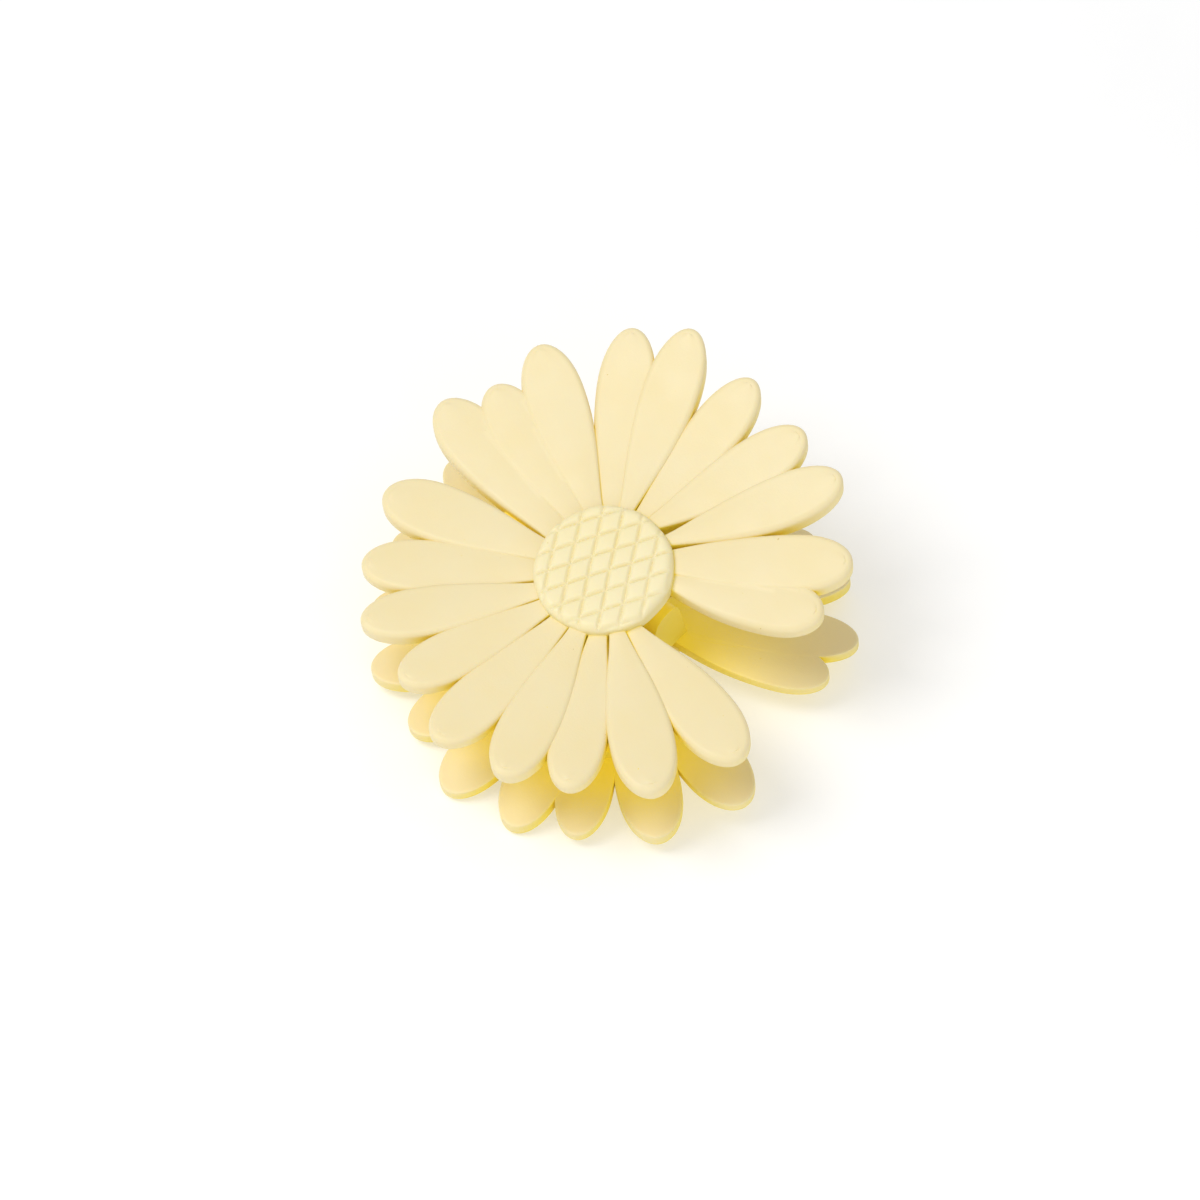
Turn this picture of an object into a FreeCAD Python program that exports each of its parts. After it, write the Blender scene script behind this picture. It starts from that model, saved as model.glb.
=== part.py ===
import FreeCAD, Part
import os
from math import atan2, cos, degrees, pi, radians, sin, sqrt
from FreeCAD import Vector

# A daisy-shaped claw clip: two mirrored flower halves, turning on a steel pin and held shut by a
# torsion spring. Each half is a bent plate of petals with a hatched button at its centre. Its
# inner face carries two hinge lugs and a curved rail of claw teeth.
#
# Working frame, in millimetres: X along the hinge pin, +Y towards the finger levers, -Y towards
# the jaw, +Z out through the front flower. The halves mirror each other in the plane Z = 0. At the
# end the whole clip is tipped to lie on its rear flower, with Z up and the origin at the middle of
# its base.

# Petal plate. A half is bent outwards along two arcs that meet at its flattest line.
PLATE = 2.2
FLAT_LINE_Y = -14.0
FLAT_LINE_Z = 6.5
LEVER_BEND_RADIUS = 143.0
JAW_BEND_RADIUS = 217.0
HUB_RADIUS = 9.0
LEVEL_STEP = 0.4
OUTSIDE = 46.0

# Petals, which lean a little: directions from +X of the root, at the hub's edge, and of the tip, in
# degrees; the tip's distance from the centre; greatest width; width of the root; swell, which is
# lower where a petal broadens sooner; and level, where a petal of a higher level stands proud of
# its neighbours. The place at 0 degrees is left open. A petal keeps its root's width inside the
# hub, then swells, then rounds to its tip.
PETALS = (
    (29.0, 24.0, 32.3, 8.2, 1.8, 0.6, 0.0),
    (47.0, 36.8, 35.5, 8.6, 3.4, 0.6, 0.5),
    (66.0, 57.0, 36.0, 8.0, 1.6, 0.75, 1.0),
    (87.5, 71.3, 34.4, 8.4, 2.0, 0.75, 0.5),
    (98.5, 90.2, 34.9, 8.2, 2.0, 0.75, 0.0),
    (110.5, 109.2, 38.0, 8.6, 2.0, 0.75, 1.0),
    (123.0, 122.8, 37.7, 8.6, 2.6, 0.75, 0.0),
    (136.0, 144.0, 37.8, 8.8, 2.6, 0.75, 1.0),
    (151.0, 157.0, 35.2, 8.4, 3.2, 0.75, 0.5),
    (171.0, 168.2, 38.0, 9.0, 3.8, 0.75, 0.0),
    (-167.5, -166.6, 35.3, 9.2, 3.4, 0.75, 0.5),
    (-148.5, -147.0, 34.9, 8.8, 3.4, 0.75, 0.0),
    (-127.0, -130.5, 35.0, 8.2, 2.6, 0.75, 1.0),
    (-110.5, -111.5, 32.8, 8.2, 2.8, 0.75, 0.5),
    (-91.0, -92.6, 35.0, 8.8, 3.2, 0.75, 0.0),
    (-72.0, -73.9, 35.1, 8.6, 2.6, 0.75, 1.0),
    (-54.5, -58.6, 34.5, 8.2, 2.6, 0.75, 0.0),
    (-38.5, -39.0, 35.9, 9.2, 2.2, 0.75, 1.0),
    (-26.0, -17.8, 35.6, 9.2, 2.2, 0.75, 0.0),
)
PETAL_OVERLAP = 3.5
WIDEST_AT = 0.68
TIP_POWER = 2.2

# Web that closes the bottoms of the slots between the petals' roots: from and to, in degrees. It
# leaves the missing petal's place open, and the slot over the end of the spring's leg.
WEB_SECTORS = ((28.0, 60.0), (80.0, 334.0))
WEB_RADIUS = 18.5
WEB_THICKNESS = 0.8

# Button at the centre of each flower, sunk a little into the plate, with two families of shallow
# hatching grooves: direction in degrees, and the first groove's distance from the centre.
BUTTON_RADIUS = 10.1
BUTTON_HEIGHT = 1.6
BUTTON_Y = 0.5
BUTTON_SUNK = 0.7
BUTTON_EDGE = 1.2
GROOVE_PITCH = 2.9
GROOVE_WIDTH = 0.5
GROOVE_DEPTH = 0.4
GROOVE_FAMILIES = ((55.0, -0.85), (118.0, -1.16))

# Hinge. The pin's ends are tight in blind sockets of the rear lugs, and it runs free in the front
# lugs, whose bores go right through.
HINGE_Y = 2.5
PIN_RADIUS = 1.0
RUNNING_CLEARANCE = 0.05
LUG_BARREL_RADIUS = 2.8
LUG_FOOT = 8.4
LUG_THICKNESS = 2.2
FRONT_LUG_X = 4.5
REAR_LUG_X = 6.9
SOCKET_DEPTH = 1.4
PIN_CHAMFER = 0.2
PIN_END_CLEARANCE = 0.05

# Claw teeth, on an arc round the flower's centre. Front and rear teeth pass between each other.
RAIL_INNER_RADIUS = 18.8
RAIL_OUTER_RADIUS = 22.2
RAIL_HEIGHT = 1.5
RAIL_END = 8.0
TOOTH_THICKNESS = 2.4
TOOTH_TIP_GAP = 0.25
FRONT_TEETH = (-130.0, -110.0, -90.0, -70.0, -50.0)
REAR_TEETH = (-140.0, -120.0, -100.0, -80.0, -60.0, -40.0)

# Torsion spring: one coil round the pin, and a leg under each finger lever.
WIRE_RADIUS = 0.45
COIL_RADIUS = 2.3
COIL_PITCH = 1.05
WHOLE_TURNS = 6
LEG_ANGLE = 23.0
LEG_LENGTH = 14.0

ORIGIN = Vector(0, 0, 0)
ALONG_X = Vector(1, 0, 0)
ALONG_Z = Vector(0, 0, 1)


def surface_z(y, offset):
    """Height of the front half's surface that lies offset outside the middle of the plate."""
    bend = LEVER_BEND_RADIUS if y > FLAT_LINE_Y else JAW_BEND_RADIUS
    return FLAT_LINE_Z + bend - sqrt((bend - offset) ** 2 - (y - FLAT_LINE_Y) ** 2)


def surface_edges(offset):
    """The two tangent arcs of one surface of the front half, from the jaw end to the lever end."""
    def point(y):
        return Vector(-OUTSIDE, y, surface_z(y, offset))

    jaw_middle = (FLAT_LINE_Y - OUTSIDE) / 2
    lever_middle = (FLAT_LINE_Y + OUTSIDE) / 2
    jaw = Part.Arc(point(-OUTSIDE), point(jaw_middle), point(FLAT_LINE_Y)).toShape()
    lever = Part.Arc(point(FLAT_LINE_Y), point(lever_middle), point(OUTSIDE)).toShape()
    return [jaw, lever], point(-OUTSIDE), point(OUTSIDE)


def bent_slab(inner, outer):
    """All the space between two surfaces of the front half, past its outline on every side."""
    low_edges, low_jaw, low_lever = surface_edges(inner)
    high_edges, high_jaw, high_lever = surface_edges(outer)
    ends = [
        Part.makeLine(low_lever, high_lever),
        Part.makeLine(low_jaw, high_jaw),
    ]
    wire = Part.Wire(Part.__sortEdges__(low_edges + high_edges + ends))
    return Part.Face(wire).extrude(Vector(2 * OUTSIDE, 0, 0))


def petal_width(s, width, root_width, swell):
    """Width of a petal at s from the hub's edge, 0, to its tip, 1."""
    if s < WIDEST_AT:
        share = sin(pi / 2 * (s / WIDEST_AT) ** swell) ** 2
        return root_width + (width - root_width) * share
    return width * sqrt(1 - ((s - WIDEST_AT) / (1 - WIDEST_AT)) ** TIP_POWER)


def polar(distance, direction):
    """The point of the plan at a distance from the centre, in a direction in degrees."""
    return Vector(distance * cos(radians(direction)), distance * sin(radians(direction)), 0)


def petal_prism(root_direction, tip_direction, reach, width, root_width, swell):
    """A tall upright prism with one petal's outline."""
    root, tip = polar(HUB_RADIUS, root_direction), polar(reach, tip_direction)
    length = (tip - root).Length
    side = []
    for s in (0.0, 0.06, 0.12, 0.24, 0.38, 0.52, WIDEST_AT, 0.82, 0.92, 0.98):
        half = petal_width(s, width, root_width, swell) / 2
        side.append(Vector(s * length, half, 0))
    other_side = [Vector(p.x, -p.y, 0) for p in reversed(side)]
    outline = Part.BSplineCurve()
    outline.interpolate(side + [Vector(length, 0, 0)] + other_side)
    inside_hub = Part.makePolygon([
        other_side[-1],
        Vector(-PETAL_OVERLAP, -root_width / 2, 0),
        Vector(-PETAL_OVERLAP, root_width / 2, 0),
        side[0],
    ])
    wire = Part.Wire([outline.toShape()] + inside_hub.Edges)
    prism = Part.Face(wire).extrude(Vector(0, 0, OUTSIDE))
    prism.rotate(ORIGIN, ALONG_Z, degrees(atan2(tip.y - root.y, tip.x - root.x)))
    prism.translate(root)
    return prism


def fuse_all(shapes):
    return shapes[0].multiFuse(shapes[1:]).removeSplitter()


def web():
    """The thin floor under the slots between the petals' roots."""
    sectors = []
    for start, end in WEB_SECTORS:
        sector = Part.makeCylinder(WEB_RADIUS, OUTSIDE, ORIGIN, ALONG_Z, end - start)
        sector.rotate(ORIGIN, ALONG_Z, start)
        sectors.append(sector)
    return fuse_all(sectors).common(bent_slab(-PLATE / 2, -PLATE / 2 + WEB_THICKNESS))


def flower_plate():
    """The front flower: every petal cut from the bent plate at its own level, joined by the hub."""
    hub = Part.makeCylinder(HUB_RADIUS, OUTSIDE).common(bent_slab(-PLATE / 2, PLATE / 2))
    layers = [hub, web()]
    for level in sorted({petal[-1] for petal in PETALS}):
        prisms = [petal_prism(*petal[:-1]) for petal in PETALS if petal[-1] == level]
        slab = bent_slab(-PLATE / 2, PLATE / 2 + level * LEVEL_STEP)
        layers.append(fuse_all(prisms).common(slab))
    return fuse_all(layers)


def groove_cutters(top):
    """Long square bars, standing on edge, that cut the button's two families of grooves."""
    bars = []
    side = GROOVE_DEPTH * sqrt(2) + GROOVE_WIDTH / 4
    count = int(BUTTON_RADIUS / GROOVE_PITCH)
    for direction, first in GROOVE_FAMILIES:
        for k in range(-count, count + 2):
            bar = Part.makeBox(2 * OUTSIDE, side, side, Vector(-OUTSIDE, -side / 2, -side / 2))
            bar.rotate(ORIGIN, ALONG_X, 45)
            bar.translate(Vector(0, first + k * GROOVE_PITCH, top))
            bar.rotate(ORIGIN, ALONG_Z, direction)
            bars.append(bar)
    return bars


def flower_button():
    """The front flower's hatched button, square to the plate under it."""
    height = PLATE + BUTTON_HEIGHT + LEVEL_STEP
    button = Part.makeCylinder(BUTTON_RADIUS, height)
    rim = [edge for edge in button.Edges if edge.BoundBox.ZMin > height / 2]
    button = button.makeFillet(BUTTON_EDGE, rim)
    button = button.cut(Part.makeCompound(groove_cutters(height)))
    slope = degrees(atan2(-FLAT_LINE_Y, LEVER_BEND_RADIUS))
    button.rotate(ORIGIN, ALONG_X, slope)
    button.translate(Vector(0, BUTTON_Y, surface_z(BUTTON_Y, -PLATE / 2)))
    return button.cut(bent_slab(-2 * PLATE, PLATE / 2 - BUTTON_SUNK))


def tooth(angle):
    """One curved claw of the front half, reaching towards the rear half's rail."""
    root_z = FLAT_LINE_Z + PLATE
    tip_y = (RAIL_INNER_RADIUS + RAIL_OUTER_RADIUS) / 2 * sin(radians(angle))
    tip_z = TOOTH_TIP_GAP + RAIL_HEIGHT - surface_z(tip_y, -PLATE / 2)
    back = Part.Arc(
        Vector(RAIL_OUTER_RADIUS, 0, root_z),
        Vector(RAIL_OUTER_RADIUS, 0, tip_z / 3),
        Vector(RAIL_INNER_RADIUS + 1.5, 0, tip_z),
    )
    front = Part.Arc(
        Vector(RAIL_INNER_RADIUS + 0.5, 0, tip_z),
        Vector(RAIL_INNER_RADIUS + 1.1, 0, tip_z / 3),
        Vector(RAIL_INNER_RADIUS, 0, root_z),
    )
    tip = Part.makeLine(back.toShape().Vertexes[-1].Point, front.toShape().Vertexes[0].Point)
    root = Part.makeLine(front.toShape().Vertexes[-1].Point, back.toShape().Vertexes[0].Point)
    wire = Part.Wire([back.toShape(), tip, front.toShape(), root])
    claw = Part.Face(wire).extrude(Vector(0, TOOTH_THICKNESS, 0))
    claw.translate(Vector(0, -TOOTH_THICKNESS / 2, 0))
    claw.rotate(ORIGIN, ALONG_Z, angle)
    return claw


def claw_teeth(angles):
    """A rail on the front half's inner face, with a claw at each angle."""
    sweep = max(angles) - min(angles) + 2 * RAIL_END
    start = min(angles) - RAIL_END
    ring = Part.makeCylinder(RAIL_OUTER_RADIUS, OUTSIDE, ORIGIN, ALONG_Z, sweep)
    ring = ring.cut(Part.makeCylinder(RAIL_INNER_RADIUS, OUTSIDE))
    ring.rotate(ORIGIN, ALONG_Z, start)
    rail = ring.common(bent_slab(-PLATE / 2 - RAIL_HEIGHT, -PLATE / 2))
    plate_side = bent_slab(-PLATE / 2, 4 * PLATE)
    teeth = [tooth(angle).cut(plate_side) for angle in angles]
    return fuse_all([rail] + teeth)


def hinge_lugs(inner_x, hole_radius, hole_depth):
    """Two lugs on the front half's inner face, inner_x and further from the middle of the pin."""
    foot_z = FLAT_LINE_Z + 2 * PLATE
    arm = Part.makePolygon([
        Vector(inner_x, HINGE_Y - LUG_BARREL_RADIUS, 0),
        Vector(inner_x, HINGE_Y + LUG_BARREL_RADIUS, 0),
        Vector(inner_x, HINGE_Y + LUG_FOOT / 2, foot_z),
        Vector(inner_x, HINGE_Y - LUG_FOOT / 2, foot_z),
        Vector(inner_x, HINGE_Y - LUG_BARREL_RADIUS, 0),
    ])
    arm = Part.Face(arm).extrude(Vector(LUG_THICKNESS, 0, 0))
    centre = Vector(inner_x, HINGE_Y, 0)
    barrel = Part.makeCylinder(LUG_BARREL_RADIUS, LUG_THICKNESS, centre, ALONG_X)
    hole = Part.makeCylinder(hole_radius, hole_depth, centre, ALONG_X)
    lug = arm.fuse(barrel).removeSplitter().cut(hole).cut(bent_slab(-PLATE / 2, 4 * PLATE))
    return Part.makeCompound([lug, lug.mirror(ORIGIN, ALONG_X)])


def hinge_pin():
    length = 2 * (REAR_LUG_X + SOCKET_DEPTH - PIN_END_CLEARANCE)
    pin = Part.makeCylinder(PIN_RADIUS, length, Vector(-length / 2, HINGE_Y, 0), ALONG_X)
    rims = [edge for edge in pin.Edges if edge.BoundBox.XLength < PIN_RADIUS / 2]
    return pin.makeChamfer(PIN_CHAMFER, rims)


def spring_leg(start, direction):
    return Part.makeCylinder(WIRE_RADIUS, LEG_LENGTH, start, direction)


def torsion_spring():
    """A left-handed coil from the rear leg, at -X, to the front leg, at +X."""
    start_angle = -(90 + LEG_ANGLE)
    turns = WHOLE_TURNS - 2 * (90 + LEG_ANGLE) / 360
    helix = Part.makeHelix(COIL_PITCH, COIL_PITCH * turns, COIL_RADIUS, 0, True)
    helix.rotate(ORIGIN, ALONG_Z, start_angle)
    helix.rotate(ORIGIN, Vector(1, 1, 1), 120)
    helix.translate(Vector(-COIL_PITCH * turns / 2, HINGE_Y, 0))
    path = Part.Wire(helix.Edges)
    first, last = path.OrderedEdges[0], path.OrderedEdges[-1]
    start, end = first.valueAt(first.FirstParameter), last.valueAt(last.LastParameter)
    start_tangent = first.tangentAt(first.FirstParameter)
    end_tangent = last.tangentAt(last.LastParameter)
    section = Part.Wire(Part.makeCircle(WIRE_RADIUS, start, start_tangent))
    coil = path.makePipeShell([section], True, True)
    legs = [spring_leg(start, start_tangent.negative()), spring_leg(end, end_tangent)]
    return fuse_all([coil] + legs)


def rear(front_shape):
    """The mirror image of a front shape, as the rear half has it."""
    return front_shape.mirror(ORIGIN, ALONG_Z)


def resting_tilt(shape):
    """Degrees to tip the clip about X so that a shape's lever and jaw ends stand level."""
    points = shape.tessellate(0.02)[0]
    lever = min((p for p in points if p.y > 0), key=lambda p: p.z)
    jaw = min((p for p in points if p.y < 0), key=lambda p: p.z)
    for _ in range(4):
        jaw = min((p for p in points if p.y < 0), key=lambda p: (p.z - lever.z) / (lever.y - p.y))
        lever = min((p for p in points if p.y > 0), key=lambda p: (p.z - jaw.z) / (p.y - jaw.y))
    return degrees(atan2(jaw.z - lever.z, lever.y - jaw.y))


def build():
    plate, button = flower_plate(), flower_button()
    button = button.cut(plate)
    running_lugs = hinge_lugs(FRONT_LUG_X, PIN_RADIUS + RUNNING_CLEARANCE, LUG_THICKNESS)
    socket_lugs = hinge_lugs(REAR_LUG_X, PIN_RADIUS, SOCKET_DEPTH)
    return {
        "front_flower": plate,
        "front_button": button,
        "front_claw_teeth": claw_teeth(FRONT_TEETH),
        "front_hinge_lugs": running_lugs,
        "rear_flower": rear(plate),
        "rear_button": rear(button),
        "rear_claw_teeth": rear(claw_teeth(REAR_TEETH)),
        "rear_hinge_lugs": rear(socket_lugs),
        "hinge_pin": hinge_pin(),
        "torsion_spring": torsion_spring(),
    }


def lay_down(nodes):
    """Tips the clip onto its rear flower and puts the origin at the middle of its base."""
    tilt = resting_tilt(nodes["rear_flower"])
    for shape in nodes.values():
        shape.rotate(ORIGIN, ALONG_X, tilt)
    box = Part.makeCompound(list(nodes.values())).BoundBox
    to_origin = Vector(-(box.XMin + box.XMax) / 2, -(box.YMin + box.YMax) / 2, -box.ZMin)
    for shape in nodes.values():
        shape.translate(to_origin)
    hinge = FreeCAD.Rotation(ALONG_X, tilt).multVec(Vector(0, HINGE_Y, 0)) + to_origin
    print(f"tilt {tilt:.3f} degrees, hinge at {hinge.x:.4f} {hinge.y:.4f} {hinge.z:.4f}")
    print(f"size {box.XLength:.2f} x {box.YLength:.2f} x {box.ZLength:.2f}")


def main():
    nodes = build()
    lay_down(nodes)
    os.makedirs("parts", exist_ok=True)
    for name, shape in nodes.items():
        volume = sum(solid.Volume for solid in shape.Solids)
        print(f"{name}: {len(shape.Solids)} solids, valid {shape.isValid()}, {volume:.1f} mm3")
        shape.exportStep(f"parts/{name}.step")


main()
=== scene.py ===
from math import atan2, cos, degrees, hypot, pi, radians, sin, sqrt

import bmesh
import bpy
from mathutils import Matrix, Vector


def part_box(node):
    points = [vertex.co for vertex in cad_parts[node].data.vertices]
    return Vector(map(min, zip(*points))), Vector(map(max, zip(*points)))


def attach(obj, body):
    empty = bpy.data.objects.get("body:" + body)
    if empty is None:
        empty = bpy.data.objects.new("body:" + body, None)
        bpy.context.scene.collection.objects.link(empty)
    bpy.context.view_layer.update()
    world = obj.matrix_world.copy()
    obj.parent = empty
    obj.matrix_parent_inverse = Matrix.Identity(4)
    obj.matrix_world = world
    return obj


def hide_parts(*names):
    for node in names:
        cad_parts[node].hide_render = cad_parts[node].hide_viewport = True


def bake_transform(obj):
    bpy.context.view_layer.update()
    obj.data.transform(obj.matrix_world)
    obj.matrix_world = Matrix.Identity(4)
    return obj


# A daisy claw clip in pale butter-yellow plastic: two mirrored flower halves on a steel pin, with a
# torsion spring between them. Lengths of the clip are in millimetres, in the clip's own frame: X
# along the hinge pin, +Y towards the finger levers, +Z out through the front flower, and the halves
# mirrored in Z = 0. TO_ROW turns them into metres in the frame's own axes.

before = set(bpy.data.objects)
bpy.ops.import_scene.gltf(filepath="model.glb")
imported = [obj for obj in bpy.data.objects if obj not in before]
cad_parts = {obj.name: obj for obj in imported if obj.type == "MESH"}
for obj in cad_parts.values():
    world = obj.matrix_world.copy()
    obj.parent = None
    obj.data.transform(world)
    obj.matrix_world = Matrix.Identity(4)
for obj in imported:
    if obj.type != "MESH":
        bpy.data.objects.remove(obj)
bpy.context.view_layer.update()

# Where the clip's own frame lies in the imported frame.
RESTING_TILT = radians(6.713)
HINGE_Y = 2.5
PIN_LOW, PIN_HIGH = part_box("hinge_pin")
TO_ROW = (
    Matrix.Translation((PIN_LOW + PIN_HIGH) / 2)
    @ Matrix.Rotation(RESTING_TILT, 4, "X")
    @ Matrix.Scale(0.001, 4)
    @ Matrix.Translation((0, -HINGE_Y, 0))
)
MIRROR = Matrix.Scale(-1, 4, (0, 0, 1))

# The petal plate, bent outwards along two arcs that meet at its flattest line.
HALF_PLATE = 1.1
FLAT_LINE_Y = -14.0
FLAT_LINE_Z = 6.5
LEVER_BEND_RADIUS = 143.0
JAW_BEND_RADIUS = 217.0

# Petals: directions from +X of the root, at the hub's edge, and of the tip, in degrees; the tip's
# distance from the centre; greatest width; width of the root; swell, which is lower where a petal
# broadens sooner; and level.
PETALS = (
    (29.0, 24.0, 32.3, 8.2, 1.8, 0.6, 0.0),
    (47.0, 36.8, 35.5, 8.6, 3.4, 0.6, 0.5),
    (66.0, 57.0, 36.0, 8.0, 1.6, 0.75, 1.0),
    (87.5, 71.3, 34.4, 8.4, 2.0, 0.75, 0.5),
    (98.5, 90.2, 34.9, 8.2, 2.0, 0.75, 0.0),
    (110.5, 109.2, 38.0, 8.6, 2.0, 0.75, 1.0),
    (123.0, 122.8, 37.7, 8.6, 2.6, 0.75, 0.0),
    (136.0, 144.0, 37.8, 8.8, 2.6, 0.75, 1.0),
    (151.0, 157.0, 35.2, 8.4, 3.2, 0.75, 0.5),
    (171.0, 168.2, 38.0, 9.0, 3.8, 0.75, 0.0),
    (-167.5, -166.6, 35.3, 9.2, 3.4, 0.75, 0.5),
    (-148.5, -147.0, 34.9, 8.8, 3.4, 0.75, 0.0),
    (-127.0, -130.5, 35.0, 8.2, 2.6, 0.75, 1.0),
    (-110.5, -111.5, 32.8, 8.2, 2.8, 0.75, 0.5),
    (-91.0, -92.6, 35.0, 8.8, 3.2, 0.75, 0.0),
    (-72.0, -73.9, 35.1, 8.6, 2.6, 0.75, 1.0),
    (-54.5, -58.6, 34.5, 8.2, 2.6, 0.75, 0.0),
    (-38.5, -39.0, 35.9, 9.2, 2.2, 0.75, 1.0),
    (-26.0, -17.8, 35.6, 9.2, 2.2, 0.75, 0.0),
)
HUB_RADIUS = 9.0
PETAL_OVERLAP = 2.0
WIDEST_AT = 0.68
TIP_POWER = 2.2

# How far each level stands out at the outer face. At the inner face a hair's breadth is enough to
# keep neighbouring faces apart.
LEVEL_STEP = 0.4
INNER_STEP = 0.03

# Rounding of a petal's edge, softer towards its tip, and the rise of its face along its middle.
PETAL_EDGE = 0.85
ROOT_EDGE = 0.3
INNER_EDGE = 0.22
CROWN = 0.12
CROWN_START = 0.01

# How finely a petal is divided: across, from its root to its widest place, and from there on.
COLUMNS = 6
SWELL_STATIONS = 15
TIP_STATIONS = 13

# Web that closes the bottoms of the slots between the petals' roots: from and to, in degrees.
WEB_SECTORS = ((28, 60), (80, 334))
WEB_RADIUS = 18.5
WEB_THICKNESS = 0.8

# How finely the hub and the web are divided: degrees from one spoke to the next, and rings.
SPOKE_STEP = 5
DISC_RINGS = 6

# The hatched button at the flower's centre, sunk a little into the plate. A pillow rises in each
# diamond of the hatching.
BUTTON_RADIUS = 10.1
BUTTON_HEIGHT = 1.6
BUTTON_Y = 0.5
BUTTON_SUNK = 0.7
BUTTON_EDGE = 1.2
GROOVE_PITCH = 2.9
GROOVE_HALF_WIDTH = 0.40
GROOVE_DEPTH = 0.40
GROOVE_WANDER = 0.05
PILLOW = 0.12
BUTTON_SPOKES = 400
BUTTON_FLAT_RINGS = 66
BUTTON_EDGE_RINGS = 8

# The two families of grooves: direction in degrees, and the first groove's distance from the centre.
GROOVE_FAMILIES = ((55, -0.85), (118, -1.16))

# Torsion spring round the pin.
WIRE_RADIUS = 0.45
COIL_RADIUS = 2.3
COIL_PITCH = 1.05
WHOLE_TURNS = 6
LEG_ANGLE = 23.0
LEG_LENGTH = 14.0
TURN_STEPS = 40
LEG_STEPS = 12
WIRE_SIDES = 16


# ---------------------------------------------------------------- mesh helpers

def surface_z(y, offset):
    """Height of the front half's surface that lies offset outside the middle of the plate."""
    bend = LEVER_BEND_RADIUS if y > FLAT_LINE_Y else JAW_BEND_RADIUS
    return FLAT_LINE_Z + bend - sqrt((bend - offset) ** 2 - (y - FLAT_LINE_Y) ** 2)


def turned(x, y, angle):
    """A point of the plan turned about the centre by an angle in degrees."""
    c, s = cos(radians(angle)), sin(radians(angle))
    return x * c - y * s, x * s + y * c


def object_from(mesh, name, matrix):
    """A linked object whose mesh has been moved by matrix."""
    mesh.transform(matrix)
    if matrix.determinant() < 0:
        mesh.flip_normals()
    piece = bpy.data.objects.new(name, mesh)
    bpy.context.scene.collection.objects.link(piece)
    return piece


def mesh_from(bm, name):
    bmesh.ops.recalc_face_normals(bm, faces=bm.faces)
    mesh = bpy.data.meshes.new(name)
    bm.to_mesh(mesh)
    bm.free()
    return mesh


def shade(mesh, sharpest):
    """Smooth shading, with edges sharper than the angle kept sharp."""
    mesh.shade_smooth()
    mesh.set_sharp_from_angle(angle=radians(sharpest))


# ---------------------------------------------------------------- petals

def petal_width(s, width, root_width, swell):
    """Width of a petal at s from the hub's edge, 0, to its tip, 1."""
    if s < 0:
        return root_width
    if s < WIDEST_AT:
        share = sin(pi / 2 * (s / WIDEST_AT) ** swell) ** 2
        return root_width + (width - root_width) * share
    return width * sqrt(max(0.0, 1 - ((s - WIDEST_AT) / (1 - WIDEST_AT)) ** TIP_POWER))


def petal_side(length, width, root_width, swell):
    """One side of a petal's outline from its root to its tip, as (along, half width)."""
    stations = [-PETAL_OVERLAP / length, -0.5 * PETAL_OVERLAP / length]
    stations += [WIDEST_AT * k / SWELL_STATIONS for k in range(SWELL_STATIONS)]
    tip_angles = [pi / 2 * k / TIP_STATIONS for k in range(TIP_STATIONS)]
    stations += [WIDEST_AT + (1 - WIDEST_AT) * sin(angle) for angle in tip_angles]
    side = [(s * length, petal_width(s, width, root_width, swell) / 2) for s in stations]
    return side + [(length, 0)]


def chain_normals(chain):
    """Outward unit normals of an outline that runs from its left root round its tip."""
    normals = []
    for i in range(len(chain)):
        before = chain[max(i - 1, 0)]
        after = chain[min(i + 1, len(chain) - 1)]
        dx, dy = after[0] - before[0], after[1] - before[1]
        size = hypot(dx, dy)
        normals.append((-dy / size, dx / size))
    return normals


def edge_profile(low, high, edge):
    """A petal's section at its edge, from the inner face round to the outer: (inset, height)."""
    inner = min(INNER_EDGE, 0.7 * edge)
    profile = [(2.2 * inner, low)]
    for k in range(3):
        turn = pi / 2 * k / 2
        profile.append((inner * (1 - sin(turn)), low + inner * (1 - cos(turn))))
    profile.append((0.0, (low + high) / 2))
    for k in range(7):
        turn = pi / 2 * k / 6
        profile.append((edge * (1 - cos(turn)), high - edge * (1 - sin(turn))))
    profile.append((1.25 * edge, high + CROWN_START))
    return profile


def edge_radius(along, length):
    """A petal's edge is crisp at its root and soft from halfway out."""
    share = min(1.0, max(0.0, 2 * along / length))
    return ROOT_EDGE + (PETAL_EDGE - ROOT_EDGE) * share * share * (3 - 2 * share)


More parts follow.
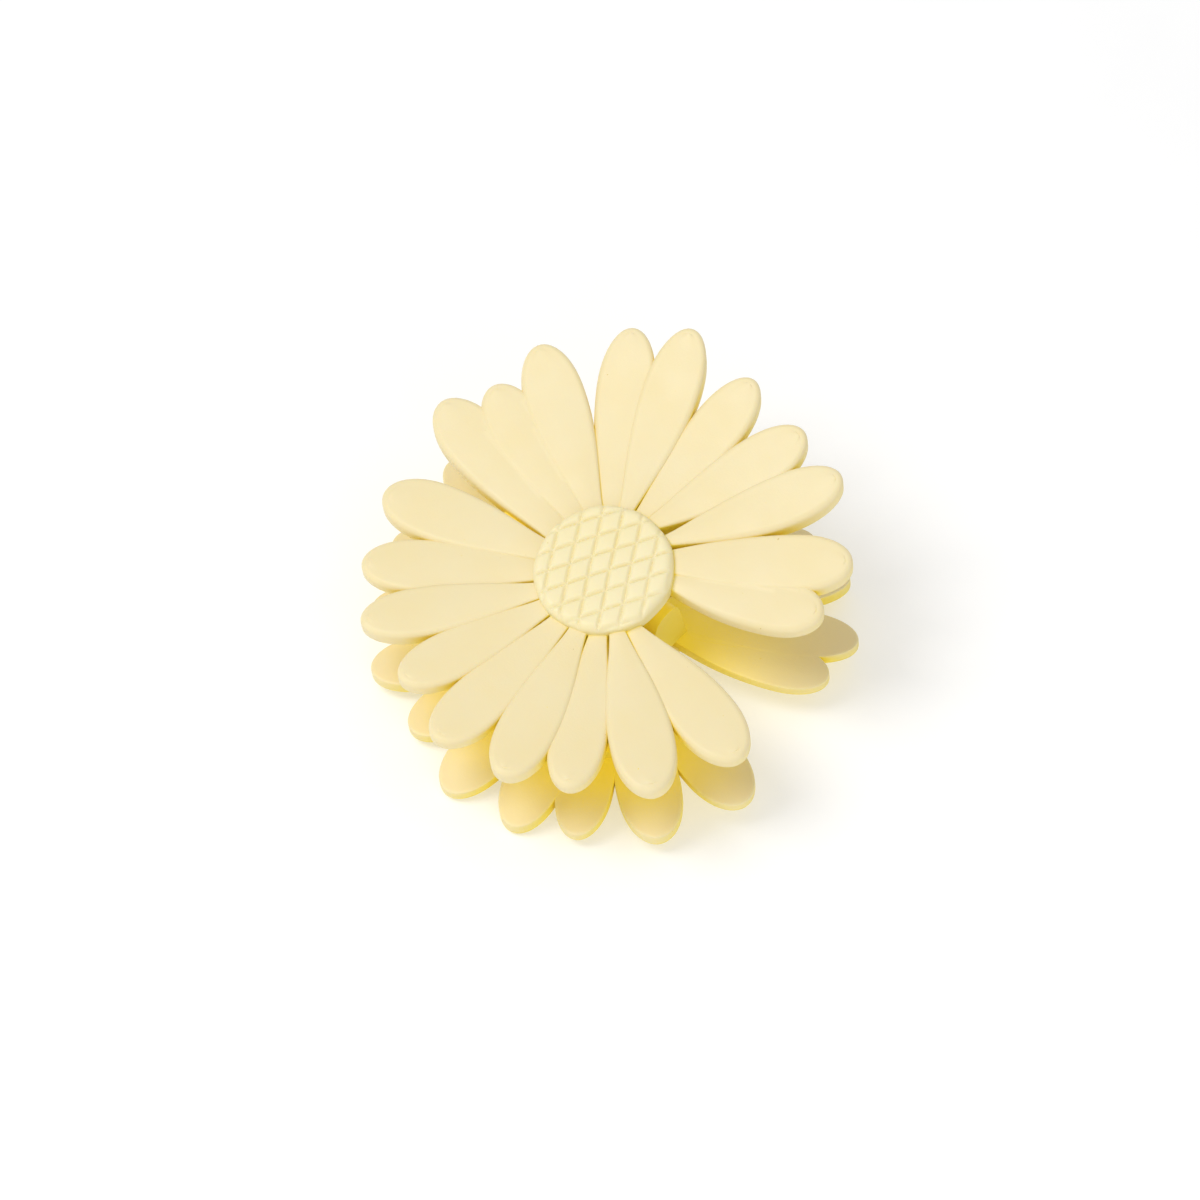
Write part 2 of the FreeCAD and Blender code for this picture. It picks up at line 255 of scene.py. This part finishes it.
def add_petal(bm, root_direction, tip_direction, reach, width, root_width, swell, level):
    """One closed petal with a rounded edge, bent as the plate is."""
    low, high = -HALF_PLATE - INNER_STEP * level, HALF_PLATE + LEVEL_STEP * level
    root_x, root_y = turned(HUB_RADIUS, 0, root_direction)
    tip_x, tip_y = turned(reach, 0, tip_direction)
    length = hypot(tip_x - root_x, tip_y - root_y)
    heading = degrees(atan2(tip_y - root_y, tip_x - root_x))
    side = petal_side(length, width, root_width, swell)
    tip = len(side) - 1
    chain = side + [(x, -half) for x, half in reversed(side[:-1])]
    normals = chain_normals(chain)

    columns = []
    for (x, y), (nx, ny) in zip(chain, normals):
        column = []
        for inset, height in edge_profile(low, high, edge_radius(x, length)):
            px, py = turned(x - inset * nx, y - inset * ny, heading)
            px, py = px + root_x, py + root_y
            column.append(bm.verts.new((px, py, surface_z(py, height))))
        columns.append(column)
    rings = list(zip(*columns))
    for lower, upper in zip(rings, rings[1:]):
        for i in range(2 * tip):
            bm.faces.new((lower[i], lower[i + 1], upper[i + 1], upper[i]))

    def fill(ring, height, crown):
        """Rows of faces across the petal inside a ring; returns the root row."""
        rows = []
        for i in range(tip):
            left, right = ring[i], ring[2 * tip - i]
            row = [left]
            for k in range(1, COLUMNS):
                share = k / COLUMNS
                px, py = left.co.lerp(right.co, share).xy
                dome = crown * (1 - (2 * share - 1) ** 2)
                row.append(bm.verts.new((px, py, surface_z(py, height + dome))))
            rows.append(row + [right])
        for near, far in zip(rows, rows[1:]):
            for k in range(COLUMNS):
                bm.faces.new((near[k], near[k + 1], far[k + 1], far[k]))
        for k in range(COLUMNS):
            bm.faces.new((rows[-1][k], rows[-1][k + 1], ring[tip]))
        return rows[0]

    inner_row = fill(rings[0], low, 0.0)
    outer_row = fill(rings[-1], high + CROWN_START, CROWN)
    left_wall = [ring[0] for ring in rings]
    right_wall = [ring[-1] for ring in rings]
    bm.faces.new(left_wall + outer_row[1:-1] + right_wall[::-1] + inner_row[1:-1][::-1])


def add_disc(bm, radius, low, high, start=0, end=360):
    """A closed disc, or a sector of one from start to end in degrees, bent as the plate is."""
    whole = end - start == 360
    steps = round((end - start) / SPOKE_STEP)
    layers = []
    for height in (low, high):
        centre = bm.verts.new((0, 0, surface_z(0, height)))
        loops = []
        for ring in range(1, DISC_RINGS + 1):
            loop = []
            for k in range(steps if whole else steps + 1):
                x, y = turned(radius * ring / DISC_RINGS, 0, start + (end - start) * k / steps)
                loop.append(bm.verts.new((x, y, surface_z(y, height))))
            loops.append(loop + loop[:1] if whole else loop)
        for k in range(steps):
            bm.faces.new((centre, loops[0][k], loops[0][k + 1]))
            for inner, outer in zip(loops, loops[1:]):
                bm.faces.new((inner[k], outer[k], outer[k + 1], inner[k + 1]))
        layers.append((centre, loops))
    (low_centre, low_loops), (high_centre, high_loops) = layers
    for k in range(steps):
        low_rim, high_rim = low_loops[-1], high_loops[-1]
        bm.faces.new((low_rim[k], low_rim[k + 1], high_rim[k + 1], high_rim[k]))
    if not whole:
        for end_of_loop in (0, -1):
            below = [low_centre] + [loop[end_of_loop] for loop in low_loops]
            above = [high_centre] + [loop[end_of_loop] for loop in high_loops]
            for k in range(DISC_RINGS):
                bm.faces.new((below[k], below[k + 1], above[k + 1], above[k]))


def united(petals, hub):
    """The petals and the hub as one closed skin."""
    union = petals.modifiers.new("union", "BOOLEAN")
    union.operation = "UNION"
    union.solver = "EXACT"
    union.use_self = True
    union.object = hub
    evaluated = petals.evaluated_get(bpy.context.evaluated_depsgraph_get())
    mesh = bpy.data.meshes.new_from_object(evaluated)
    for piece in (petals, hub):
        bpy.data.objects.remove(piece)
    return mesh


def flower_mesh():
    """The front flower's skin, in the clip's own frame."""
    petals = bmesh.new()
    for petal in PETALS:
        add_petal(petals, *petal)
    inner_face = -HALF_PLATE - INNER_STEP / 2
    for start, end in WEB_SECTORS:
        add_disc(petals, WEB_RADIUS, inner_face, inner_face + WEB_THICKNESS, start, end)
    hub = bmesh.new()
    add_disc(hub, HUB_RADIUS, -HALF_PLATE - 2 * INNER_STEP, HALF_PLATE - INNER_STEP)
    identity = Matrix.Identity(4)
    mesh = united(
        object_from(mesh_from(petals, "petals"), "petals", identity),
        object_from(mesh_from(hub, "hub"), "hub", identity),
    )
    shade(mesh, 38)
    return mesh


# ---------------------------------------------------------------- button

def groove_distance(u, v, direction, first):
    """Distance from a point on the button to the nearest groove of one family."""
    along, across = turned(u, v, -direction)
    across += GROOVE_WANDER * sin(0.5 * along + direction) - first
    return abs((across / GROOVE_PITCH + 0.5) % 1 - 0.5) * GROOVE_PITCH


def hatching(u, v):
    """Height of the button's face above its flat level: grooves, and a pillow in each diamond."""
    distances = [groove_distance(u, v, *family) for family in GROOVE_FAMILIES]
    cut = max(max(0.0, 1 - d / GROOVE_HALF_WIDTH) ** 1.4 for d in distances)
    pillow = 1.0
    for d in distances:
        pillow *= sin(pi * d / GROOVE_PITCH)
    return PILLOW * pillow - GROOVE_DEPTH * cut


def button_radius(angle):
    """The button's outline, very slightly flattened between its corners."""
    return BUTTON_RADIUS * (1 - 0.006 * (1 + cos(9 * angle + 0.6)) - 0.004 * cos(4 * angle))


def button_stations(side_height):
    """The button's section from near its centre down to its base: (distance out, drop)."""
    flat = BUTTON_RADIUS - BUTTON_EDGE
    stations = [(flat * k / BUTTON_FLAT_RINGS, 0.0) for k in range(1, BUTTON_FLAT_RINGS + 1)]
    for k in range(1, BUTTON_EDGE_RINGS + 1):
        turn = pi / 2 * k / BUTTON_EDGE_RINGS
        stations.append((flat + BUTTON_EDGE * sin(turn), BUTTON_EDGE * (1 - cos(turn))))
    stations.append((BUTTON_RADIUS, side_height))
    return stations


def button_mesh():
    """The front flower's hatched button, square to the plate under it."""
    bm = bmesh.new()
    top = 2 * HALF_PLATE + BUTTON_HEIGHT + LEVEL_STEP
    base_height = 2 * HALF_PLATE - BUTTON_SUNK
    loops = []
    for rho, drop in button_stations(top - base_height):
        loop = []
        for k in range(BUTTON_SPOKES):
            angle = 2 * pi * k / BUTTON_SPOKES
            reach = rho * button_radius(angle) / BUTTON_RADIUS
            u, v = reach * cos(angle), reach * sin(angle)
            fade = max(0.0, 1 - drop / BUTTON_EDGE)
            loop.append(bm.verts.new((u, v, top - drop + fade * hatching(u, v))))
        loops.append(loop)
    for inner, outer in zip(loops, loops[1:]):
        for k in range(BUTTON_SPOKES):
            after = (k + 1) % BUTTON_SPOKES
            bm.faces.new((inner[k], outer[k], outer[after], inner[after]))
    centre = bm.verts.new((0, 0, top + hatching(0, 0)))
    base = bm.verts.new((0, 0, base_height))
    for k in range(BUTTON_SPOKES):
        after = (k + 1) % BUTTON_SPOKES
        bm.faces.new((centre, loops[0][k], loops[0][after]))
        bm.faces.new((base, loops[-1][after], loops[-1][k]))
    mesh = mesh_from(bm, "button")
    slope = atan2(-FLAT_LINE_Y, LEVER_BEND_RADIUS)
    rise = Matrix.Translation((0, BUTTON_Y, surface_z(BUTTON_Y, -HALF_PLATE)))
    mesh.transform(rise @ Matrix.Rotation(slope, 4, "X"))
    shade(mesh, 60)
    return mesh


# ---------------------------------------------------------------- spring

def spring_path():
    """The spring wire's centre line: rear leg, coil, front leg."""
    turns = WHOLE_TURNS - 2 * (90 + LEG_ANGLE) / 360
    steps = TURN_STEPS * WHOLE_TURNS
    coil = []
    for k in range(steps + 1):
        share = k / steps
        angle = -radians(90 + LEG_ANGLE) - 2 * pi * turns * share
        x = COIL_PITCH * turns * (share - 0.5)
        coil.append(Vector((x, HINGE_Y + COIL_RADIUS * cos(angle), COIL_RADIUS * sin(angle))))
    rear_way = (coil[0] - coil[1]).normalized()
    front_way = (coil[-1] - coil[-2]).normalized()
    rear = [coil[0] + rear_way * LEG_LENGTH * (1 - k / LEG_STEPS) for k in range(LEG_STEPS)]
    front = [coil[-1] + front_way * LEG_LENGTH * (k + 1) / LEG_STEPS for k in range(LEG_STEPS)]
    return rear + coil + front


def tube_mesh(path, radius, name):
    """A round wire along a path, with slightly rounded cut ends."""
    bm = bmesh.new()
    tangents = []
    for i in range(len(path)):
        tangents.append((path[min(i + 1, len(path) - 1)] - path[max(i - 1, 0)]).normalized())
    across = tangents[0].orthogonal().normalized()
    rings = []
    rounding = radius * 0.3
    sections = [(path[0] - tangents[0] * rounding, tangents[0], radius - rounding)]
    sections += [(point, tangent, radius) for point, tangent in zip(path, tangents)]
    sections.append((path[-1] + tangents[-1] * rounding, tangents[-1], radius - rounding))
    for point, tangent, size in sections:
        across = (across - tangent * across.dot(tangent)).normalized()
        up = tangent.cross(across)
        ring = []
        for k in range(WIRE_SIDES):
            angle = 2 * pi * k / WIRE_SIDES
            ring.append(bm.verts.new(point + size * (across * cos(angle) + up * sin(angle))))
        rings.append(ring)
    for near, far in zip(rings, rings[1:]):
        for k in range(WIRE_SIDES):
            after = (k + 1) % WIRE_SIDES
            bm.faces.new((near[k], near[after], far[after], far[k]))
    bm.faces.new(rings[0][::-1])
    bm.faces.new(rings[-1])
    mesh = mesh_from(bm, name)
    shade(mesh, 50)
    return mesh


# ---------------------------------------------------------------- materials

# The key light. Where it doesn't reach, and in deep folds, the plastic is painted with shade: a deep
# colour and a painted glow. The reach of folds and of shadows is in metres.
KEY_PLACE = Vector((-0.27, -0.32, 0.76))
KEY_WAY = KEY_PLACE.normalized()
# Strength of the painted glow in sheltered places.
PAINTED_GLOW = 0.18
FOLD_REACH = 0.018
SHADOW_REACH = 0.030
OCCLUSION_SAMPLES = 8


def new_material(name):
    material = bpy.data.materials.new(name)
    material.use_nodes = True
    tree = material.node_tree
    shader = tree.nodes["Principled BSDF"]
    return material, tree, shader


def add_node(tree, kind, **settings):
    node = tree.nodes.new(kind)
    for key, value in settings.items():
        if hasattr(node, key):
            setattr(node, key, value)
        else:
            node.inputs[key].default_value = value
    return node


def noise(tree, scale, detail, roughness=0.5):
    """Noise over the object's own position, with scale in cycles per metre."""
    place = tree.nodes.get("place") or add_node(tree, "ShaderNodeTexCoord", name="place")
    node = add_node(tree, "ShaderNodeTexNoise")
    node.inputs["Scale"].default_value = scale
    node.inputs["Detail"].default_value = detail
    node.inputs["Roughness"].default_value = roughness
    tree.links.new(place.outputs["Object"], node.inputs["Vector"])
    return node


def ramp(tree, source, stops):
    """A colour ramp with (position, colour) stops, fed by source."""
    node = tree.nodes.new("ShaderNodeValToRGB")
    elements = node.color_ramp.elements
    while len(elements) < len(stops):
        elements.new(0.5)
    for element, (position, colour) in zip(elements, stops):
        element.position = position
        element.color = (*colour, 1)
    tree.links.new(source, node.inputs["Fac"])
    return node


def mixed(tree, factor, first, second):
    """Blends two colour outputs by factor, 0 for the first and 1 for the second."""
    node = tree.nodes.new("ShaderNodeMix")
    node.data_type = "RGBA"
    tree.links.new(factor, node.inputs["Factor"])
    tree.links.new(first, node.inputs["A"])
    tree.links.new(second, node.inputs["B"])
    return node.outputs["Result"]


def grey(value):
    return (value, value, value)


def multiplied(tree, first, second):
    node = add_node(tree, "ShaderNodeMath", operation="MULTIPLY")
    tree.links.new(first, node.inputs[0])
    tree.links.new(second, node.inputs[1])
    return node.outputs["Value"]


def openness(tree, reach):
    """An occlusion node that looks round a point as far as reach."""
    node = add_node(tree, "ShaderNodeAmbientOcclusion", samples=OCCLUSION_SAMPLES)
    node.inputs["Distance"].default_value = reach
    return node


def painted_shade_amount(tree):
    """Painted shade mask: 0 in the light to 1 in the deep folds on the side that the key light doesn't
    reach.
    """
    fold = openness(tree, FOLD_REACH)
    depth = ramp(tree, fold.outputs["AO"], [(0.28, grey(1.0)), (0.86, grey(0.45))])
    to_key = add_node(tree, "ShaderNodeCombineXYZ", X=KEY_WAY[0], Y=KEY_WAY[1], Z=KEY_WAY[2])
    screen = openness(tree, SHADOW_REACH)
    tree.links.new(to_key.outputs["Vector"], screen.inputs["Normal"])
    shadow = ramp(tree, screen.outputs["AO"], [(0.15, grey(1.0)), (0.75, grey(0.1))])
    both = multiplied(tree, depth.outputs["Color"], shadow.outputs["Color"])
    return ramp(tree, both, [(0.20, grey(0.0)), (0.70, grey(1.0))]).outputs["Color"]


def add_painted_glow(tree, shader, painted_shade_factor, painted_shade_and_speck):
    """Painted glow: emission in the painted-shade places that face upwards, standing in for light
    through the plastic.
    """
    geometry = add_node(tree, "ShaderNodeNewGeometry")
    facing = add_node(tree, "ShaderNodeSeparateXYZ")
    tree.links.new(geometry.outputs["Normal"], facing.inputs[0])
    upwards = ramp(tree, facing.outputs["Z"], [(0.0, grey(0.0)), (1.0, grey(PAINTED_GLOW))])
    painted_glow_strength = multiplied(tree, painted_shade_factor, upwards.outputs["Color"])
    tree.links.new(painted_glow_strength, shader.inputs["Emission Strength"])
    shader.inputs["Emission Color"].default_value = (*painted_shade_and_speck, 1)


def add_grain(tree, shader, grain):
    """Fine bumps and a slightly uneven polish."""
    polish = ramp(tree, noise(tree, 260, 3).outputs["Fac"], [(0.3, grey(0.42)), (0.7, grey(0.54))])
    tree.links.new(polish.outputs["Color"], shader.inputs["Roughness"])
    bump = add_node(tree, "ShaderNodeBump")
    bump.inputs["Strength"].default_value = grain
    bump.inputs["Distance"].default_value = 0.00006
    tree.links.new(noise(tree, 2600, 3, 0.6).outputs["Fac"], bump.inputs["Height"])
    tree.links.new(bump.outputs["Normal"], shader.inputs["Normal"])


def moulded_plastic(name, pale, painted_shade_and_speck, grain):
    """Satin moulded plastic: cloudy pigment, tiny specks, and painted shade, a deep colour and a
    painted glow, in sheltered places.
    """
    material, tree, shader = new_material(name)
    warm = tuple(channel * share for channel, share in zip(pale, (1.0, 0.985, 0.93)))
    cloud = noise(tree, 110, 4, 0.55)
    pigment = ramp(tree, cloud.outputs["Fac"], [(0.35, warm), (0.65, pale)])
    speck_noise = noise(tree, 1700, 1)
    speck = ramp(tree, speck_noise.outputs["Fac"], [(0.17, grey(1.0)), (0.20, grey(0.0))])
    speck_tone = ramp(tree, cloud.outputs["Fac"], [(0.4, (0.62, 0.47, 0.20)), (0.6, painted_shade_and_speck)])
    flecked = mixed(tree, speck.outputs["Color"], pigment.outputs["Color"], speck_tone.outputs["Color"])
    # Painted shade: the deep colour is mixed in where the painted-shade mask is high, in folds and away
    # from the key light.
    darker_painted_shade = tuple(channel * 0.96 for channel in painted_shade_and_speck)
    painted_shade_tone = ramp(tree, cloud.outputs["Fac"], [(0.3, darker_painted_shade), (0.7, painted_shade_and_speck)])
    painted_shade_factor = painted_shade_amount(tree)
    colour = mixed(tree, painted_shade_factor, flecked, painted_shade_tone.outputs["Color"])
    tree.links.new(colour, shader.inputs["Base Color"])
    add_painted_glow(tree, shader, painted_shade_factor, painted_shade_and_speck)
    add_grain(tree, shader, grain)
    shader.inputs["IOR"].default_value = 1.49
    shader.inputs["Specular IOR Level"].default_value = 0.4
    shader.inputs["Subsurface Weight"].default_value = 0.12
    shader.inputs["Subsurface Radius"].default_value = (1.0, 0.75, 0.25)
    shader.inputs["Subsurface Scale"].default_value = 0.0012
    return material


def drawn_steel(name, dark, light, roughness):
    """Drawn steel wire: fine scratches along X and darker oxide clouds."""
    material, tree, shader = new_material(name)
    place = add_node(tree, "ShaderNodeTexCoord", name="place")
    stretch = add_node(tree, "ShaderNodeMapping")
    stretch.inputs["Scale"].default_value = (0.08, 1.0, 1.0)
    tree.links.new(place.outputs["Object"], stretch.inputs["Vector"])
    lines = add_node(tree, "ShaderNodeTexNoise")
    lines.inputs["Scale"].default_value = 9000
    lines.inputs["Detail"].default_value = 3
    tree.links.new(stretch.outputs["Vector"], lines.inputs["Vector"])
    cloud = noise(tree, 500, 3)
    tone = ramp(tree, cloud.outputs["Fac"], [(0.35, dark), (0.65, light)])
    tree.links.new(tone.outputs["Color"], shader.inputs["Base Color"])
    wear = ramp(
        tree, lines.outputs["Fac"], [(0.3, grey(roughness - 0.08)), (0.7, grey(roughness + 0.1))]
    )
    tree.links.new(wear.outputs["Color"], shader.inputs["Roughness"])
    bump = add_node(tree, "ShaderNodeBump")
    bump.inputs["Strength"].default_value = 0.25
    bump.inputs["Distance"].default_value = 0.00003
    tree.links.new(lines.outputs["Fac"], bump.inputs["Height"])
    tree.links.new(bump.outputs["Normal"], shader.inputs["Normal"])
    shader.inputs["Metallic"].default_value = 1.0
    return material


def pale_floor():
    """Matt white paper with the faintest tooth, and a faint glow, as of a lit table."""
    material, tree, shader = new_material("floor_paper")
    tone = ramp(
        tree, noise(tree, 40, 3).outputs["Fac"], [(0.3, grey(0.66)), (0.7, grey(0.68))]
    )
    tree.links.new(tone.outputs["Color"], shader.inputs["Base Color"])
    shader.inputs["Roughness"].default_value = 0.9
    shader.inputs["Specular IOR Level"].default_value = 0.1
    shader.inputs["Emission Color"].default_value = (1, 1, 1, 1)
    shader.inputs["Emission Strength"].default_value = 0.38
    return material


# ---------------------------------------------------------------- the clip

PALE = (0.870, 0.750, 0.450)
BUTTON_PALE = (0.900, 0.805, 0.500)
# Painted shade colours: the deep amber laid into folds and on the side away from the key light, and the
# glow there; the specks take it too.
PAINTED_SHADE_AND_SPECK = (0.930, 0.745, 0.060)
BUTTON_PAINTED_SHADE_AND_SPECK = (0.84, 0.72, 0.24)
# The claws and lugs are the petals' own pale yellow made deeper and more amber as painted shade, for
# the shaded gap between the flowers.
CLAW_SHADED_PALE = (0.870, 0.730, 0.370)

PETAL_PLASTIC = moulded_plastic("petal_plastic", PALE, PAINTED_SHADE_AND_SPECK, 0.25)
BUTTON_PLASTIC = moulded_plastic("button_plastic", BUTTON_PALE, BUTTON_PAINTED_SHADE_AND_SPECK, 0.2)
CLAW_PLASTIC = moulded_plastic("claw_plastic", CLAW_SHADED_PALE, PAINTED_SHADE_AND_SPECK, 0.35)
PIN_STEEL = drawn_steel("pin_steel", (0.50, 0.48, 0.45), (0.66, 0.64, 0.61), 0.32)
SPRING_STEEL = drawn_steel("spring_steel", (0.13, 0.095, 0.06), (0.26, 0.21, 0.15), 0.38)


def finish_piece(piece, material, body, node):
    """Gives a piece its material and slot, and lets it ride in place of its CAD node."""
    piece.data.materials.clear()
    piece.data.materials.append(material)
    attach(piece, body)
    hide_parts(node)


def make_halves():
    flower, button = flower_mesh(), button_mesh()
    for half, side in (("front", Matrix.Identity(4)), ("rear", MIRROR)):
        body = half + "_half"
        petals = object_from(flower.copy(), half + "_petals", TO_ROW @ side)
        finish_piece(petals, PETAL_PLASTIC, body, half + "_flower")
        centre = object_from(button.copy(), half + "_hatched_button", TO_ROW @ side)
        finish_piece(centre, BUTTON_PLASTIC, body, half + "_button")


def make_spring():
    spring = object_from(tube_mesh(spring_path(), WIRE_RADIUS, "spring"), "spring_wire", TO_ROW)
    spring.data.materials.append(SPRING_STEEL)
    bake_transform(spring)
    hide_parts("torsion_spring")


def paint_cad_node(name, material, edge):
    """A CAD node keeps its mesh and gets softened edges and a finished material."""
    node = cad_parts[name]
    for slot in node.material_slots:
        slot.link = "OBJECT"
        slot.material = material
    if edge:
        weld = node.modifiers.new("weld", "WELD")
        weld.merge_threshold = 0.000002
        bevel = node.modifiers.new("edge", "BEVEL")
        bevel.width = edge
        bevel.segments = 3
        bevel.limit_method = "ANGLE"
        bevel.angle_limit = radians(35)
        bevel.harden_normals = False


make_halves()
make_spring()
for half in ("front", "rear"):
    paint_cad_node(half + "_claw_teeth", CLAW_PLASTIC, 0.0003)
    paint_cad_node(half + "_hinge_lugs", CLAW_PLASTIC, 0.0003)
paint_cad_node("hinge_pin", PIN_STEEL, 0)


# ---------------------------------------------------------------- studio

def make_floor():
    bm = bmesh.new()
    bmesh.ops.create_grid(bm, x_segments=8, y_segments=8, size=2.0)
    sheet = object_from(mesh_from(bm, "floor"), "floor", Matrix.Identity(4))
    sheet.data.materials.append(pale_floor())


def make_light(name, place, target, size, power):
    lamp = bpy.data.lights.new(name, "AREA")
    lamp.shape = "DISK"
    lamp.size = size
    lamp.energy = power
    holder = bpy.data.objects.new(name, lamp)
    holder.location = place
    holder.rotation_euler = (target - place).to_track_quat("-Z", "Y").to_euler()
    bpy.context.scene.collection.objects.link(holder)


def make_camera(azimuth, elevation, distance, aim, lens):
    """A camera that looks at aim from azimuth and elevation in degrees, with Z upright."""
    a, e = radians(azimuth), radians(elevation)
    back = Vector((sin(a) * cos(e), -cos(a) * cos(e), sin(e)))
    camera = bpy.data.cameras.new("camera")
    camera.sensor_width = 36
    camera.lens = lens
    holder = bpy.data.objects.new("camera", camera)
    right = Vector((0, 0, 1)).cross(back).normalized()
    up = back.cross(right)
    holder.location = aim[0] * right + aim[1] * up + aim[2] + back * distance
    holder.rotation_euler = (-back).to_track_quat("-Z", "Y").to_euler()
    bpy.context.scene.collection.objects.link(holder)
    bpy.context.scene.camera = holder


make_floor()
BUTTON_TOP = TO_ROW @ Vector((0, 0, 9.586))
make_camera(40, 54, 0.8, (-0.00035, -0.00438, BUTTON_TOP), 169.7)
make_light("key", KEY_PLACE, BUTTON_TOP, 0.45, 3.45)
make_light("fill", Vector((0.55, -0.30, 0.32)), BUTTON_TOP, 0.5, 0.8)
world = bpy.data.worlds.new("studio")
world.use_nodes = True
world.node_tree.nodes["Background"].inputs["Color"].default_value = (1, 1, 1, 1)
world.node_tree.nodes["Background"].inputs["Strength"].default_value = 0.56
bpy.context.scene.world = world
bpy.context.scene.view_settings.view_transform = "Standard"
